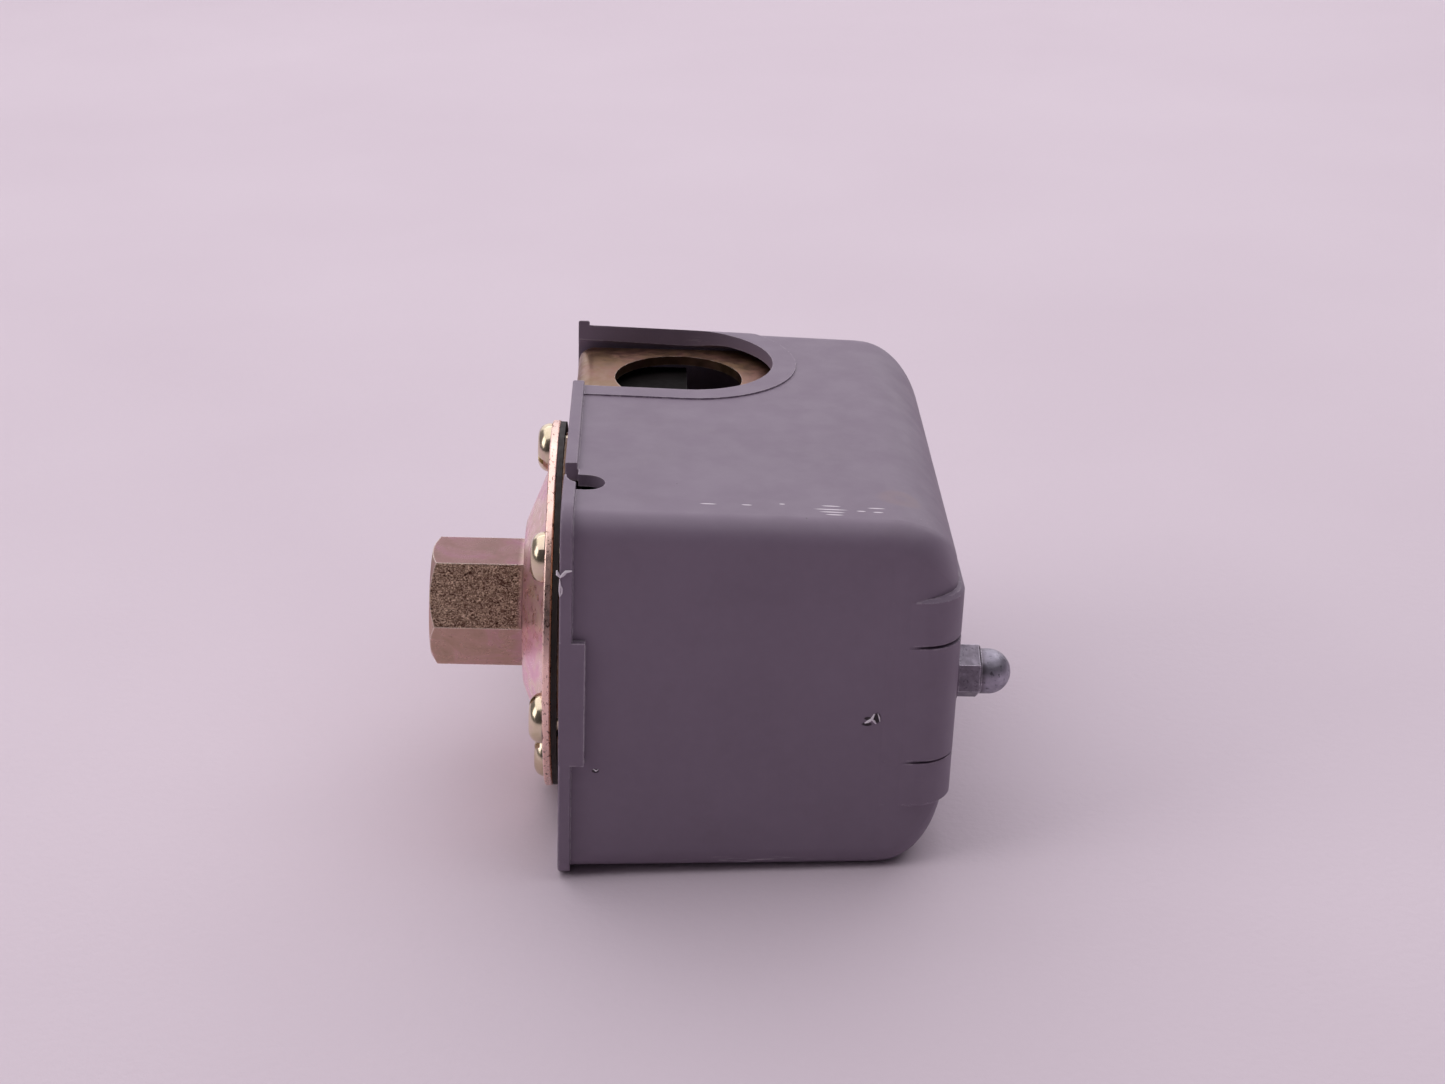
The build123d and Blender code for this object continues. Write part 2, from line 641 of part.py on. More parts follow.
with BuildPart() as moving_contacts:
    for z in TERMINAL_Z:
        disc(BLOCK_TOP + 2.25, BRIDGE_X - GAP - BLOCK_TOP - 2.25, 2.2, CONTACT_Y, z)
save(moving_contacts.part, "moving_contacts")

with BuildPart() as contact_bridges:
    for z in (-BRIDGE_Z, BRIDGE_Z):
        block(BRIDGE_X, 1.0, 27.8, 34.2, z - 9.0, z + 9.0)
        disc(BRIDGE_X - 1, 3, 1.9, CONTACT_Y, z, mode=Mode.SUBTRACT)
    fillet(edges().filter_by(Axis.X).filter_by(lambda e: abs(e.center().Y - CONTACT_Y) > 3), 1.5)
save(contact_bridges.part, "contact_bridges")

with BuildPart() as contact_springs:
    for z in (-BRIDGE_Z, BRIDGE_Z):
        spring_foot = BRIDGE_X + 1.0 + 0.4
        coil(spring_foot, CONTACT_Y, z, 2.3, 0.6, 0.9, BAR_X - 0.4 - spring_foot)
save(contact_springs.part, "contact_springs")

with BuildPart() as contact_carrier:
    block(BAR_X, 4.4, 27.2, 34.8, -23.0, 23.0)
    fillet(edges().filter_by(Axis.X), 1.5)
    block(BAR_X + 0.2, 1.8, 15.5, 28.5, -11.0, 11.0)
    for z in (-BRIDGE_Z, BRIDGE_Z):
        disc(BRIDGE_X - 0.4, 5, 1.6, CONTACT_Y, z)
    for z in (-11.0, 9.2):
        with BuildSketch(Plane.XY.offset(z)):
            with BuildLine():
                Polyline(
                    (PIVOT_X - 1.4, PIVOT_Y + 2.0),
                    (BAR_X + 1.0, 28.0),
                    (BAR_X + 4.0, 28.0),
                    (BAR_X + 2.0, 15.5),
                    (PIVOT_X + 1.4, PIVOT_Y - 2.0),
                    close=True,
                )
            make_face()
            with Locations((PIVOT_X, PIVOT_Y)):
                Circle(2.5)
                Circle(PIN_R + RUNNING, mode=Mode.SUBTRACT)
        extrude(amount=1.8)
save(contact_carrier.part, "contact_carrier")

with BuildPart() as snap_spring:
    snap_foot = LEVER_TOP + 0.45
    coil(snap_foot, 19.2, 0, 2.1, 0.7, 1.7, BAR_X + 0.2 - 0.45 - snap_foot)
save(snap_spring.part, "snap_spring")
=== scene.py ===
import math

import bmesh
import bpy
from mathutils import Matrix, Vector


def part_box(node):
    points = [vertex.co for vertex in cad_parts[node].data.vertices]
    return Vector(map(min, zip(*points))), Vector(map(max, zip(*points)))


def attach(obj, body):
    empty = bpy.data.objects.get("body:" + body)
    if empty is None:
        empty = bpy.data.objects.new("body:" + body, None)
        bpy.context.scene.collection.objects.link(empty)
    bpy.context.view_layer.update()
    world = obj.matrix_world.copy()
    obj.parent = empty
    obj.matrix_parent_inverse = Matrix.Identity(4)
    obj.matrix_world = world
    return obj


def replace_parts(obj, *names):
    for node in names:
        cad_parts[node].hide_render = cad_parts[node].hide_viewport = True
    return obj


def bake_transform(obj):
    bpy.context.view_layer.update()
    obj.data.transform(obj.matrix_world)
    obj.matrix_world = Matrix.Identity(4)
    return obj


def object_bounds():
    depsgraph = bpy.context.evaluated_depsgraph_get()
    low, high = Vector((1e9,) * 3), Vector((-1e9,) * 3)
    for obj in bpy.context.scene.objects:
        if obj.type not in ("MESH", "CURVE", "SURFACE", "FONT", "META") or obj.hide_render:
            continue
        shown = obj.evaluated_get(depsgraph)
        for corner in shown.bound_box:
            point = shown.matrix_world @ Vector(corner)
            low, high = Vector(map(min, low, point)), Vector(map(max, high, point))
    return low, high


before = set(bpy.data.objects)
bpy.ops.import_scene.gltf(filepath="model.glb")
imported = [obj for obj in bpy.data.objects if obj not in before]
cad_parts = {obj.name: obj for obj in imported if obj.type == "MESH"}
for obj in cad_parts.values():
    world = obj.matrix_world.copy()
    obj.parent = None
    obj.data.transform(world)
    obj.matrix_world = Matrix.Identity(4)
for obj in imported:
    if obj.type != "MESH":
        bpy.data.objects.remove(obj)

cad_low, cad_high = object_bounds()
scene = bpy.context.scene
MM = 0.001

# ---------------------------------------------------------------- places on the object, mm
HEX_END_X = 15.8                 # the hexagon's finish ends here
DOME_START_X = 17.4              # and the dome's is complete here
FLANGE_RIM = (33.55, 33.95)      # radii between which the flange turns into its rim
DOME_ROOT = (17.5, 13.0)         # radii over which the dome darkens towards the hexagon
LIP_X = (30.2, 29.6)             # the cover's lip lies below the second
CAP_DOME_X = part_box("cap_nut")[0][0] / MM + 4.3     # where the cap nut's flats end
STROKE_Z = 33.7                  # height of the strokes near the cover's long edge
STROKE_WIDTH = 0.25
BROWN_RING = ((84.5, -24.5, 34.0), (6.5, 4.6, 3.0))

# thin pale strokes on the top near the long front edge: x, y and half length
STROKES = [
    (70.9, -29.7, 1.6), (70.8, -31.2, 2.8), (71.0, -32.3, 2.1), (71.3, -33.4, 1.5), (78.7, -29.9, 1.5),
    (78.9, -31.6, 0.9), (76.0, -31.4, 0.8), (62.5, -29.7, 0.5), (49.8, -30.9, 1.4), (56.4, -30.7, 0.9),
]
# rubbed patches elsewhere: middle, reach, and the noise level where they start
RUBS = [
    ((88.0, -31.0, 31.0), (4.0, 3.0, 3.0), 0.62), ((34.0, 30.0, 33.9), (9.0, 1.0, 1.6), 0.55),
    ((60.0, 59.0, 32.0), (14.0, 1.6, 3.5), 0.52), ((92.5, 8.0, 21.0), (2.5, 14.0, 1.6), 0.50),
    ((93.8, -20.0, -20.5), (2.5, 12.0, 1.6), 0.50), ((60.0, -38.4, -32.4), (20.0, 2.4, 2.4), 0.55),
]
# nicks, dented and painted dark as shade: middle and reach
NICKS = [
    ((31.4, -40.2, -13.4), (0.9, 1.0, 0.55)), ((44.5, -22.6, 34.6), (0.3, 0.9, 0.8)),
    ((66.4, -35.3, 33.2), (0.5, 0.6, 0.5)), ((80.2, -39.2, -2.4), (0.95, 1.0, 1.5)),
    ((78.5, -39.2, -3.6), (1.3, 1.0, 0.55)), ((78.6, -39.2, -2.5), (0.9, 1.0, 0.45)),
    ((52.0, 20.0, -34.6), (0.8, 0.3, 0.8)), ((40.0, 62.0, 8.0), (0.4, 0.9, 0.7)),
]
# torn curls on the lip and the front wall: y, radius and the (x, z) points each runs through
CURLS = [
    (-41.42, 0.30, [(24.45, 25.6), (24.58, 24.9), (25.05, 24.45), (25.55, 24.85), (26.0, 25.4), (27.0, 25.55)]),
    (-41.42, 0.18, [(24.95, 24.0), (25.0, 23.0), (24.95, 21.8), (25.0, 20.7)]),
    (-41.42, 0.16, [(25.1, 22.9), (25.35, 22.2), (25.3, 21.4), (25.0, 20.8)]),
    (-39.18, 0.26, [(78.1, -3.4), (78.65, -3.1), (79.3, -2.65), (79.7, -1.6)]),
    (-39.18, 0.22, [(79.3, -2.6), (79.7, -3.0), (80.1, -3.5)]),
    (-39.14, 0.13, [(80.3, -1.5), (80.6, -2.3), (80.75, -3.1)]),
    (-40.15, 0.15, [(31.0, -13.0), (31.5, -13.4), (31.9, -13.1)]),
]

# threads: start, end, pitch, root radius and crest radius; a stud's start and end are counted from its ends
PORT_THREAD = (0.9, 12.4, 1.41, 6.66, 6.08)
STUD_STEP_X = 88.0               # the range stud is thinner beyond this
RANGE_SHAFT_R = 2.62
RANGE_THREAD = (0.5, 0.4, 1.06, 2.58, 2.98)
TIP_SHAFT_R = 1.98
TIP_THREAD = (0.6, 0.6, 0.8, 1.94, 2.28)
DIFFERENTIAL_SHAFT_R = 1.62
DIFFERENTIAL_THREAD = (0.5, 0.6, 0.79, 1.58, 1.88)
TIP_CHAMFER = 0.4

# springs: node, adjusting body, y of the axis, coil radius, wire, turns, and the share of the open
# turns that makes up the lower length
SPRINGS = [
    ("range_spring", "range_adjuster", -24.8, 7.9, 2.4, 5.0, 0.40),
    ("differential_spring", "differential_adjuster", -11.3, 3.1, 1.0, 6.5, 0.37),
]
CLOSED_TURN = 1.04               # rise of a closed turn, in wires
CLOSED_END = 1.6                 # length of a spring's end that keeps its shape, in wires
SPRING_GAP = 0.02                # between a spring and what it presses on
SEAM = 0.0004                    # share of the travel left out where two lengths meet

# ---------------------------------------------------------------- colours
COVER = [(0.3, (0.205, 0.158, 0.215)), (0.7, (0.226, 0.176, 0.238))]
COVER_DUST = (0.28, 0.225, 0.29)
COVER_GRIME = (0.150, 0.110, 0.142)
COVER_WORN = (0.52, 0.46, 0.52)
COVER_RUBBED = (0.86, 0.80, 0.86)
COVER_NICK_SHADE = (0.012, 0.006, 0.009)
LIP_SCUFF_AND_HIGHLIGHT = (0.62, 0.56, 0.62)
RING_BROWN = (0.30, 0.185, 0.16)
DOME = [
    (0.28, (0.90, 0.74, 0.58)), (0.42, (0.97, 0.74, 0.66)), (0.56, (0.95, 0.60, 0.68)),
    (0.70, (0.88, 0.52, 0.64)), (0.85, (0.72, 0.60, 0.56)),
]
RIM_BRIGHT = (1.0, 0.70, 0.60)
RIM_SCRATCH = (0.16, 0.08, 0.06)
ROOT_DARKER = (0.30, 0.18, 0.15)
HEXAGON = [
    (0.30, (0.44, 0.31, 0.22)), (0.48, (0.54, 0.36, 0.29)), (0.62, (0.60, 0.36, 0.37)), (0.78, (0.48, 0.28, 0.31)),
]
# painted shade for the hexagon's flat that faces up
HEXAGON_TOP_SHADE = (0.47, 0.37, 0.44)
SCALE = [(0.42, (0.030, 0.015, 0.012)), (0.50, (0.22, 0.135, 0.10)), (0.57, (0.74, 0.58, 0.44))]
PORT_STAIN = (0.16, 0.10, 0.07)
PORT_WEAR_AND_HIGHLIGHT = (0.96, 0.86, 0.76)
SHEET = [
    (0.30, (0.245, 0.150, 0.080)), (0.45, (0.28, 0.170, 0.105)),
    (0.58, (0.295, 0.158, 0.118)), (0.74, (0.22, 0.13, 0.098)),
]
SCREW = [(0.30, (0.62, 0.54, 0.36)), (0.50, (0.74, 0.64, 0.46)), (0.70, (0.70, 0.55, 0.46))]
PLATE_STAIN = (0.20, 0.13, 0.08)
PLATE_WORN = (0.80, 0.74, 0.66)
# the cap nut's dome with painted light and its flats with painted shade, for what each reflects
CAP_DOME_PAINTED_LIGHT = [(0.3, (0.27, 0.25, 0.30)), (0.7, (0.40, 0.38, 0.45))]
CAP_FLATS_PAINTED_SHADE = [(0.3, (0.17, 0.15, 0.18)), (0.7, (0.25, 0.225, 0.27))]
CAP_BRUISE = (0.05, 0.05, 0.06)
CAP_WORN = (0.80, 0.76, 0.84)
PAPER = [(0.3, (0.695, 0.600, 0.672)), (0.7, (0.73, 0.637, 0.708))]

# ---------------------------------------------------------------- stage
FLOOR_HALF = 15.0                # metres
FLOOR_SLOPE = math.tan(math.radians(2.6))
FLOOR_CONTACT_X = 25.0           # mm, the lip's edge that rests on the floor
SKY_COLOUR = (1.0, 0.91, 1.0, 1.0)
SKY_STRENGTH = (0.05, 0.26)      # towards -Y and towards +Y
# lights: name, place, target, width, height, power, colour
LIGHTS = [
    ("overhead", (0.05, 0.25, 1.1), (0.05, 0, 0), 2.4, 1.8, 15.5, (1.0, 0.96, 1.0)),
    ("behind", (0.10, 1.5, 0.62), (0.05, 0, 0), 2.6, 1.3, 9.5, (1.0, 0.96, 1.0)),
    ("left", (-1.3, -0.35, 0.75), (0.0, 0, 0), 0.9, 0.9, 5, (1.0, 0.94, 0.97)),
]
CAMERA_PLACE = (0.03827, -0.42110, 0.20013)
CAMERA_TURN = (23.932, 2.086, 2.108)     # pitch down, yaw and roll in degrees
CAMERA_LENS = 61.9
CAMERA_SENSOR = 36
CAMERA_CLIP = (0.01, 100)


# ---------------------------------------------------------------- node helpers
class Graph:
    """A material's node tree, with short calls for the nodes used here."""

    def __init__(self, name):
        self.material = bpy.data.materials.new(name)
        self.material.use_nodes = True
        self.tree = self.material.node_tree
        self.tree.nodes.clear()
        self.coordinates = self.add("ShaderNodeTexCoord").outputs["Object"]
        self.geometry = self.add("ShaderNodeNewGeometry")

    def add(self, kind, inputs=None, **settings):
        node = self.tree.nodes.new(kind)
        for key, value in settings.items():
            setattr(node, key, value)
        for key, value in (inputs or {}).items():
            if isinstance(value, bpy.types.NodeSocket):
                self.tree.links.new(value, node.inputs[key])
            else:
                node.inputs[key].default_value = value
        return node

    def scaled(self, factors, offset=(0, 0, 0)):
        """Object coordinates in millimetres, stretched by factors after the offset."""
        moved = self.add("ShaderNodeVectorMath", {0: self.coordinates, 1: Vector(offset) * -MM}, operation="ADD")
        factor = Vector(factors) / MM
        return self.add("ShaderNodeVectorMath", {0: moved.outputs[0], 1: factor}, operation="MULTIPLY").outputs[0]

    def noise(self, size, detail=3.0, rough=0.55, stretch=(1, 1, 1), distortion=0.0):
        """Noise whose lumps measure about size millimetres."""
        vector = self.scaled([s / size for s in stretch])
        node = self.add("ShaderNodeTexNoise", {
            "Vector": vector, "Scale": 1.0, "Detail": detail, "Roughness": rough, "Distortion": distortion})
        return node.outputs["Fac"]

    def along_x(self):
        """Place along X in metres."""
        return self.add("ShaderNodeSeparateXYZ", {0: self.coordinates}).outputs["X"]

    def normal_dot(self, direction, normal=None):
        """How far the surface, or the given normal, faces a direction."""
        if normal is None:
            normal = self.geometry.outputs["Normal"]
        node = self.add("ShaderNodeVectorMath", {0: normal, 1: direction}, operation="DOT_PRODUCT")
        return node.outputs["Value"]

    def math(self, operation, a, b=0.0, clamp=False):
        return self.add("ShaderNodeMath", {0: a, 1: b}, operation=operation, use_clamp=clamp).outputs[0]

    def both(self, a, b):
        return self.math("MULTIPLY", a, b)

    def span(self, value, low, high, to_low=0.0, to_high=1.0):
        """value carried smoothly from the range low to high onto to_low to to_high."""
        return self.add("ShaderNodeMapRange", {
            "Value": value, "From Min": low, "From Max": high, "To Min": to_low, "To Max": to_high},
            interpolation_type="SMOOTHSTEP").outputs["Result"]

    def ramp(self, value, stops):
        node = self.add("ShaderNodeValToRGB", {"Fac": value})
        elements = node.color_ramp.elements
        while len(elements) < len(stops):
            elements.new(0.5)
        for element, (place, colour) in zip(elements, stops):
            element.position = place
            element.color = (*colour, 1.0)
        return node.outputs["Color"]

    def blend(self, factor, a, b, mode="MIX"):
        """Colour a where factor is 0 and b where it is 1."""
        node = self.add("ShaderNodeMix", data_type="RGBA", blend_type=mode)
        for index, value in ((0, factor), (6, a), (7, b)):
            if isinstance(value, bpy.types.NodeSocket):
                self.tree.links.new(value, node.inputs[index])
            elif index == 0:
                node.inputs[index].default_value = value
            else:
                node.inputs[index].default_value = (*value, 1.0)
        return node.outputs[2]

    def layer(self, colour, mask, amount, over):
        """colour with over laid on it, by amount where mask is 1."""
        return self.blend(self.both(mask, amount), colour, over)

    def spot(self, middle, reach):
        """1 at middle and falling to 0 at reach, both in millimetres."""
        vector = self.scaled([1 / r for r in reach], middle)
        length = self.add("ShaderNodeVectorMath", {0: vector}, operation="LENGTH").outputs["Value"]
        return self.math("SUBTRACT", 1.0, length, clamp=True)

    def edges(self, width):
        """About 1 along sharp edges and 0 on faces."""
        bevel = self.add("ShaderNodeBevel", {"Radius": width * MM}, samples=4)
        return self.span(self.normal_dot(self.geometry.outputs["Normal"], bevel.outputs[0]), 0.99, 0.91)

    def bump(self, height, distance, strength=1.0, under=None):
        inputs = {"Height": height, "Distance": distance * MM, "Strength": strength}
        if under is not None:
            inputs["Normal"] = under
        return self.add("ShaderNodeBump", inputs).outputs["Normal"]

    def finish(self, colour, roughness, metallic, normal, **more):
        inputs = {"Base Color": colour, "Roughness": roughness, "Metallic": metallic, "Normal": normal, **more}
        shader = self.add("ShaderNodeBsdfPrincipled", inputs)
        output = self.add("ShaderNodeOutputMaterial")
        self.tree.links.new(shader.outputs[0], output.inputs["Surface"])
        return self.material


# ---------------------------------------------------------------- materials
def cover_plastic():
    """Grey moulded plastic with grime, worn edges, pale rubs, nicks with painted shade in them and a lip whose pale
    edges are scuffing and painted highlight.
    """
    g = Graph("cover_plastic")
    colour = g.ramp(g.noise(28, 4), COVER)
    colour = g.blend(g.span(g.noise(2.2, 3), 0.35, 0.75, 0.0, 0.10), colour, COVER_DUST)
    colour = g.blend(g.span(g.noise(11, 6, 0.7), 0.52, 0.75, 0.0, 0.13), colour, COVER_GRIME)
    wear = g.both(g.edges(0.45), g.span(g.noise(1.3, 6, 0.7), 0.44, 0.60))
    # rubs are made of short strokes that run with X
    streaks = g.noise(1.0, 5, 0.6, stretch=(0.16, 2.2, 2.2))
    rubs = 0.0
    for x, y, half in STROKES:
        stroke = g.span(g.spot((x, y, STROKE_Z), (half * 1.25, STROKE_WIDTH, 3.0)), 0.05, 0.42)
        rubs = g.math("MAXIMUM", rubs, stroke)
    for middle, reach, low in RUBS:
        rubs = g.math("MAXIMUM", rubs, g.both(g.spot(middle, reach), g.span(streaks, low, low + 0.10)))
    # painted shade in the nicks; the same mask also dents them in the bump below
    nicks = 0.0
    for middle, reach in NICKS:
        nicks = g.math("MAXIMUM", nicks, g.span(g.spot(middle, reach), 0.15, 0.5))
    colour = g.layer(colour, wear, 0.60, COVER_WORN)
    colour = g.layer(colour, rubs, 0.85, COVER_RUBBED)
    colour = g.layer(colour, nicks, 0.95, COVER_NICK_SHADE)
    # the lip's pale edges: scuffing and painted highlight
    on_lip = g.span(g.along_x(), LIP_X[0] * MM, LIP_X[1] * MM)
    scuff_and_highlight = g.both(g.edges(0.30), g.span(g.noise(1.6, 5, 0.65), 0.36, 0.52))
    colour = g.layer(colour, g.both(scuff_and_highlight, on_lip), 0.75, LIP_SCUFF_AND_HIGHLIGHT)
    # a faint brown ring left on the top near the corner
    disc = g.spot(*BROWN_RING)
    ring = g.both(g.span(disc, 0.05, 0.35), g.span(disc, 0.75, 0.45))
    colour = g.layer(colour, ring, 0.22, RING_BROWN)
    roughness = g.span(g.noise(6, 5), 0.3, 0.7, 0.46, 0.56)
    roughness = g.math("ADD", roughness, g.both(rubs, 0.2), clamp=True)
    normal = g.bump(g.noise(0.45, 3), 0.012, 0.55)
    normal = g.bump(g.noise(14, 2), 0.10, 0.25, normal)
    normal = g.bump(g.math("SUBTRACT", rubs, nicks), 0.05, 0.8, normal)
    return g.finish(colour, roughness, 0.0, normal, **{"Specular IOR Level": 0.42})


def plated_port():
    """Yellow-zinc port: pink and gold on the dome, olive on the hexagon, scaly on two of its flats."""
    g = Graph("zinc_port")
    on_dome = g.span(g.along_x(), HEX_END_X * MM, DOME_START_X * MM)
    hue = g.noise(8, 5, 0.6, distortion=0.8)
    radius = g.add("ShaderNodeVectorMath", {0: g.scaled((0, 1, 1))}, operation="LENGTH").outputs["Value"]
    # the flange's rim is brighter and scratched, and the dome is darker where it meets the hexagon
    scratch = g.span(g.noise(1.1, 5, 0.7, stretch=(2.2, 1, 1)), 0.56, 0.64)
    dome = g.blend(g.span(radius, *FLANGE_RIM), g.ramp(hue, DOME), g.blend(scratch, RIM_BRIGHT, RIM_SCRATCH))
    root = g.both(g.span(radius, *DOME_ROOT), g.span(g.noise(3.0, 4), 0.2, 0.5, 0.55, 1.0))
    dome = g.layer(dome, root, 0.50, ROOT_DARKER)
    # painted shade: the flat that faces up is darkened
    bar = g.ramp(hue, HEXAGON)
    upward = g.normal_dot(Vector((0, 0, 1)))
    bar = g.blend(g.span(upward, 0.75, 0.95), bar, g.blend(1.0, bar, HEXAGON_TOP_SHADE, "MULTIPLY"))
    colour = g.blend(on_dome, bar, dome)
    # scale covers the flat that faces the front and up, and the one opposite
    facing = g.normal_dot(Vector((0, -0.866, 0.5)))
    scaly = g.span(g.math("ABSOLUTE", facing), 0.94, 0.97)
    scaly = g.both(scaly, g.math("SUBTRACT", 1.0, on_dome))
    scale_height = g.noise(0.50, 7, 0.80, stretch=(0.8, 1, 1), distortion=2.2)
    colour = g.blend(scaly, colour, g.ramp(scale_height, SCALE))
    colour = g.layer(colour, g.span(g.noise(1.9, 6, 0.7), 0.60, 0.74), 0.40, PORT_STAIN)
    # worn edges, with painted highlight along them
    worn = g.both(g.edges(0.34), g.span(g.noise(0.9, 5), 0.26, 0.42))
    colour = g.layer(colour, worn, 0.85, PORT_WEAR_AND_HIGHLIGHT)
    rough = g.span(g.noise(1.6, 6), 0.3, 0.7, 0.24, 0.40)
    rough = g.math("ADD", rough, g.both(scaly, 0.22))
    normal = g.bump(g.both(scale_height, scaly), 0.35, 0.9)
    normal = g.bump(g.noise(0.5, 4), 0.02, 0.3, normal)
    return g.finish(colour, rough, 1.0, normal)


def plated(name, tints, roughness, grain=0.25, size=7, stain_amount=0.35):
    """Zinc plating whose tints drift over the surface, stained and worn at its edges."""
    g = Graph(name)
    colour = g.ramp(g.noise(size, 5, 0.6, distortion=0.6), tints)
    colour = g.layer(colour, g.span(g.noise(2.4, 6, 0.65), 0.55, 0.75), stain_amount, PLATE_STAIN)
    wear = g.both(g.edges(0.3), g.span(g.noise(1.1, 5), 0.38, 0.6))
    colour = g.layer(colour, wear, 0.7, PLATE_WORN)
    rough = g.span(g.noise(1.8, 6), 0.3, 0.7, *roughness)
    normal = g.bump(g.noise(0.5, 4), 0.02, grain)
    return g.finish(colour, rough, 1.0, normal)


def cast_zinc():
    """Dull bluish cap nut with dark bruises and bright rubbed edges; its flats carry painted shade and its dome
    painted light, standing in for what each reflects.
    """
    g = Graph("zinc_cap")
    # painted shade on the flats and painted light on the dome
    on_flats = g.span(g.along_x(), (CAP_DOME_X + 1) * MM, CAP_DOME_X * MM)
    colour = g.blend(on_flats, g.ramp(g.noise(2.6, 5), CAP_DOME_PAINTED_LIGHT), g.ramp(g.noise(1.5, 5), CAP_FLATS_PAINTED_SHADE))
    colour = g.layer(colour, g.span(g.noise(0.8, 5, 0.65), 0.56, 0.66), 0.7, CAP_BRUISE)
    wear = g.both(g.edges(0.22), g.span(g.noise(0.7, 5), 0.32, 0.5))
    colour = g.layer(colour, wear, 0.9, CAP_WORN)
    rough = g.span(g.noise(1.2, 6), 0.3, 0.7, 0.34, 0.55)
    normal = g.bump(g.noise(0.6, 5, 0.65), 0.06, 0.7)
    return g.finish(colour, rough, 1.0, normal)


def simple(name, low, high, roughness, metallic, gloss=0.5):
    """Two mottled tones with paler edges and a fine grain."""
    g = Graph(name)
    colour = g.ramp(g.noise(3.0, 5), [(0.3, low), (0.7, high)])
    wear = g.both(g.edges(0.25), g.span(g.noise(0.9, 5), 0.4, 0.62))
    paler = tuple(min(1.0, c * 1.5 + 0.08) for c in high)
    colour = g.layer(colour, wear, 0.5, paler)
    rough = g.span(g.noise(1.5, 6), 0.3, 0.7, *roughness)
    normal = g.bump(g.noise(0.4, 4), 0.02, 0.3)
    return g.finish(colour, rough, metallic, normal, **{"Specular IOR Level": gloss})


palette = {
    "grey_cover": cover_plastic(),
    "yellow_zinc": plated("zinc_sheet", SHEET, (0.30, 0.46)),
    "zinc_cap": cast_zinc(),
    "steel": simple("bright_steel", (0.40, 0.39, 0.37), (0.58, 0.57, 0.55), (0.2, 0.35), 1.0),
    "spring_steel": simple("spring_steel", (0.18, 0.18, 0.19), (0.34, 0.34, 0.35), (0.28, 0.42), 1.0),
    "black_rubber": simple("rubber", (0.012, 0.010, 0.010), (0.034, 0.024, 0.020), (0.6, 0.8), 0.0),
    "nylon": simple("nylon", (0.55, 0.52, 0.45), (0.66, 0.63, 0.56), (0.4, 0.5), 0.0),
    # phenolic: its own black, made darker still as painted shade where it is seen through the holes
    "phenolic": simple("phenolic", (0.004, 0.003, 0.003), (0.009, 0.007, 0.007), (0.7, 0.85), 0.0, gloss=0.12),
    "brass": simple("brass", (0.55, 0.40, 0.17), (0.72, 0.55, 0.26), (0.22, 0.36), 1.0),
    "silver": simple("silver", (0.62, 0.61, 0.59), (0.75, 0.74, 0.72), (0.2, 0.35), 1.0),
    "green_zinc": simple("green_zinc", (0.10, 0.26, 0.13), (0.16, 0.36, 0.18), (0.25, 0.4), 1.0),
    "fibre": simple("fibre", (0.30, 0.24, 0.16), (0.40, 0.33, 0.22), (0.6, 0.75), 0.0),
    "carrier_red": simple("carrier", (0.16, 0.035, 0.025), (0.24, 0.055, 0.04), (0.4, 0.5), 0.0),
}
port_finish = plated_port()
screw_finish = plated("zinc_screws", SCREW, (0.16, 0.26), grain=0.15, size=4, stain_amount=0.15)
torn = simple("torn_plastic", (0.74, 0.68, 0.75), (0.90, 0.84, 0.90), (0.4, 0.55), 0.0)

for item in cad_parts.values():
    for used in item.material_slots:
        used.material = palette[used.material.name.split(".")[0]]
for node, finish in (("pressure_port", port_finish), ("flange_screws", screw_finish)):
    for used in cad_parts[node].material_slots:
        used.material = finish


# ---------------------------------------------------------------- added pieces
def piece(name, build, material, body=None):
    """New object whose mesh build(bm) makes in millimetres, riding on a body if one is given."""
    bm = bmesh.new()
    build(bm)
    bmesh.ops.recalc_face_normals(bm, faces=bm.faces)
    bmesh.ops.scale(bm, vec=(MM, MM, MM), verts=bm.verts)
    mesh = bpy.data.meshes.new(name)
    bm.to_mesh(mesh)
    bm.free()
    mesh.materials.append(material)
    made = bpy.data.objects.new(name, mesh)
    scene.collection.objects.link(made)
    if body:
        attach(made, body)
    return made


def skin(bm, rings):
    """Closed tube through rings that all have the same number of points."""
    loops = [[bm.verts.new(point) for point in ring] for ring in rings]
    count = len(loops[0])
    for here, after in zip(loops, loops[1:]):
        for k in range(count):
            bm.faces.new((here[k], here[(k + 1) % count], after[(k + 1) % count], after[k]))
    bm.faces.new(loops[0][::-1])
    bm.faces.new(loops[-1])


def around(x, y, radius, angle):
    return Vector((x, y + radius * math.cos(angle), radius * math.sin(angle)))


def circle(middle, radius, across, over, count):
    """Points about middle in the plane of two unit vectors."""
    angles = [math.tau * k / count for k in range(count)]
    return [middle + radius * (math.cos(a) * across + math.sin(a) * over) for a in angles]


def ridge(bm, start, end, pitch, root, crest, y=0.0, steps=28):
    """Helical thread ridge about an axis along +X at y, from start to end, fading in and out over half a turn."""
    count = int((end - start) / pitch * steps)
    half = pitch * 0.44
    rings = []
    for step in range(count + 1):
        angle = math.tau * step / steps
        x = start + pitch * step / steps
        fade = min(1.0, step / steps * 2, (count - step) / steps * 2)
        tip = root + (crest - root) * max(fade, 0.05)
        rings.append([around(x - half, y, root, angle), around(x, y, tip, angle), around(x + half, y, root, angle)])
    skin(bm, rings)


def shaft(bm, start, end, radius, y, tip=0.0, steps=32):
    """Round bar along +X whose end is chamfered by tip."""
    outline = [(start, radius), (end - tip, radius), (end, radius - tip)]
    skin(bm, [[around(x, y, r, math.tau * k / steps) for k in range(steps)] for x, r in outline])


